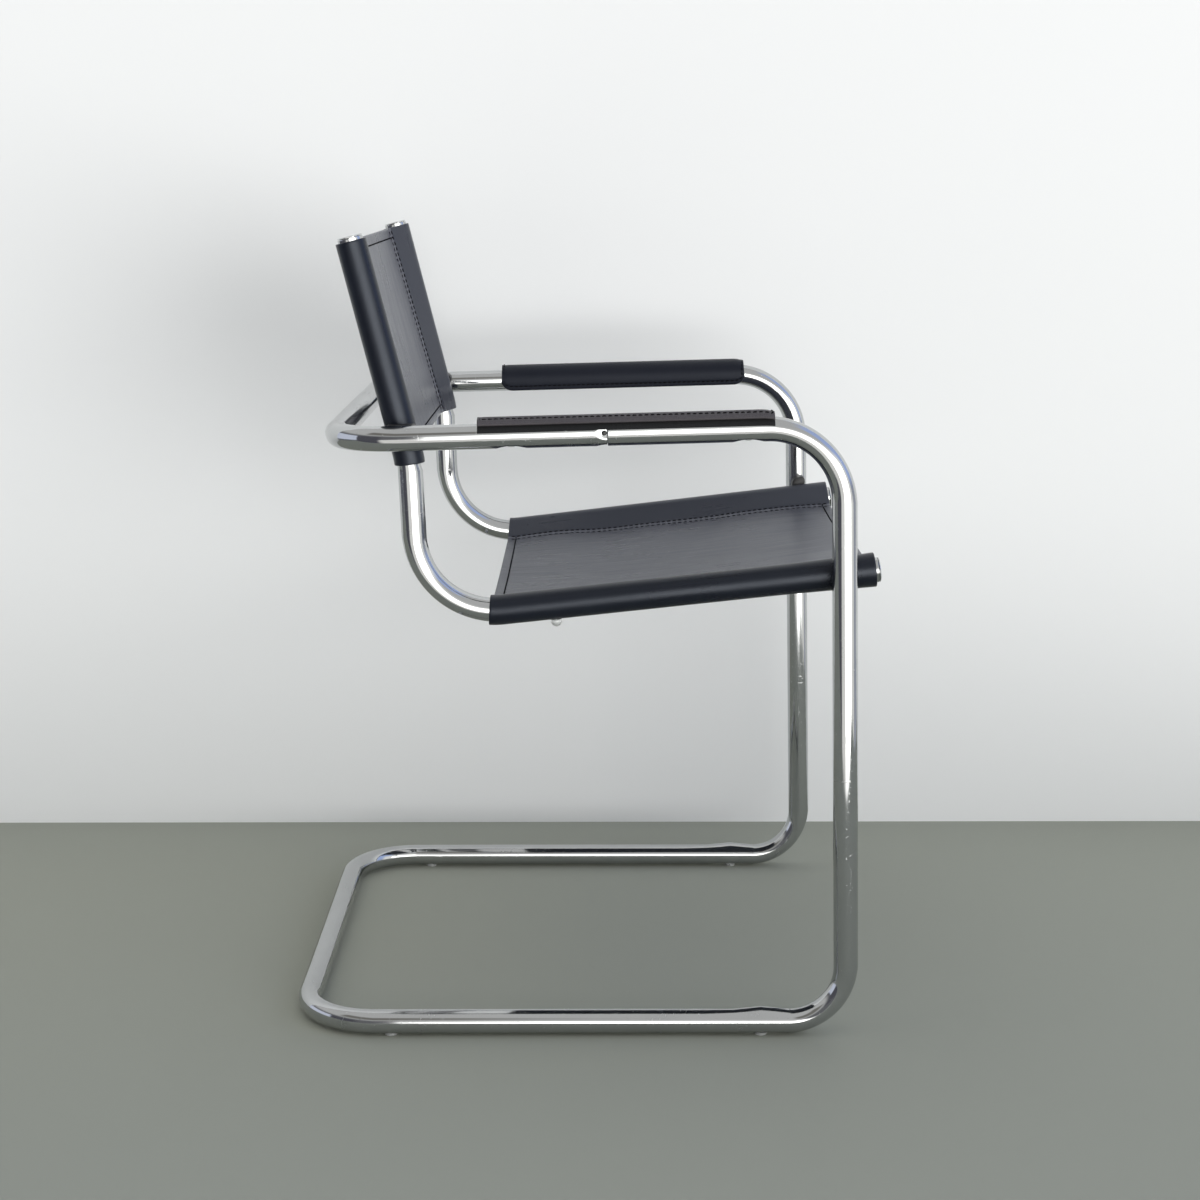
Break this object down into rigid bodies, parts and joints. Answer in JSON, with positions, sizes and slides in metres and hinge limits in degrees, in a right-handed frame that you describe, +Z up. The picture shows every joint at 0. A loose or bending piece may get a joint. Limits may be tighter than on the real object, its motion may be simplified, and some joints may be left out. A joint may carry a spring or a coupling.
{
  "type": "cantilever lounge chair",
  "caption": "Cantilever lounge chair: bent chrome tube loop with arms, inner seat tubes, stretched black leather seat and back, leather arm pads.",
  "frame": {"origin": "on the floor under the middle of the chair, in its plane of symmetry", "axes": "+Z up, the sitter faces -Y, +X to the sitter's left"},
  "size_m": [0.583, 0.6022, 0.8124],
  "materials": {
    "chrome": "polished chrome plate on steel tube, lightly scratched",
    "black_leather": "thick black saddle leather, fine grain, semi-gloss",
    "lining_leather": "black leather lining, matt",
    "steel": "bright zinc-plated steel",
    "black_plastic": "moulded black nylon",
    "clear_plastic": "soft translucent plastic"
  },
  "bodies": {
    "root": {"base_tube": "chrome", "arm_loop_tube": "chrome", "seat_tube_left": "chrome", "seat_tube_right": "chrome", "seat_cap_left": "chrome", "seat_cap_right": "chrome", "back_cap_left": "chrome", "back_cap_right": "chrome", "seat_leather": "black_leather", "back_leather": "black_leather", "arm_pad_leather_left": "black_leather", "arm_pad_leather_right": "black_leather", "arm_pad_lining_left": "lining_leather", "arm_pad_lining_right": "lining_leather", "arm_pad_strip_left": "steel", "arm_pad_strip_right": "steel", "arm_pad_screw_front_left": "steel", "arm_pad_screw_front_right": "steel", "arm_pad_screw_rear_left": "steel", "arm_pad_screw_rear_right": "steel", "arm_joint_spigot_left": "steel", "arm_joint_spigot_right": "steel", "arm_joint_screw_side_left": "steel", "arm_joint_screw_side_right": "steel", "arm_joint_screw_under_left": "steel", "arm_joint_screw_under_right": "steel", "saddle_front_left": "black_plastic", "saddle_front_right": "black_plastic", "saddle_rear_left": "black_plastic", "saddle_rear_right": "black_plastic", "frame_bolt_front_left": "steel", "frame_bolt_front_right": "steel", "frame_bolt_rear_left": "steel", "frame_bolt_rear_right": "steel", "thread_insert_front_left": "steel", "thread_insert_front_right": "steel", "thread_insert_rear_left": "steel", "thread_insert_rear_right": "steel", "seat_bumper_left": "clear_plastic", "seat_bumper_right": "clear_plastic", "floor_glide_front_left": "clear_plastic", "floor_glide_front_right": "clear_plastic", "floor_glide_rear_left": "clear_plastic", "floor_glide_rear_right": "clear_plastic"}
  },
  "joints": []
}
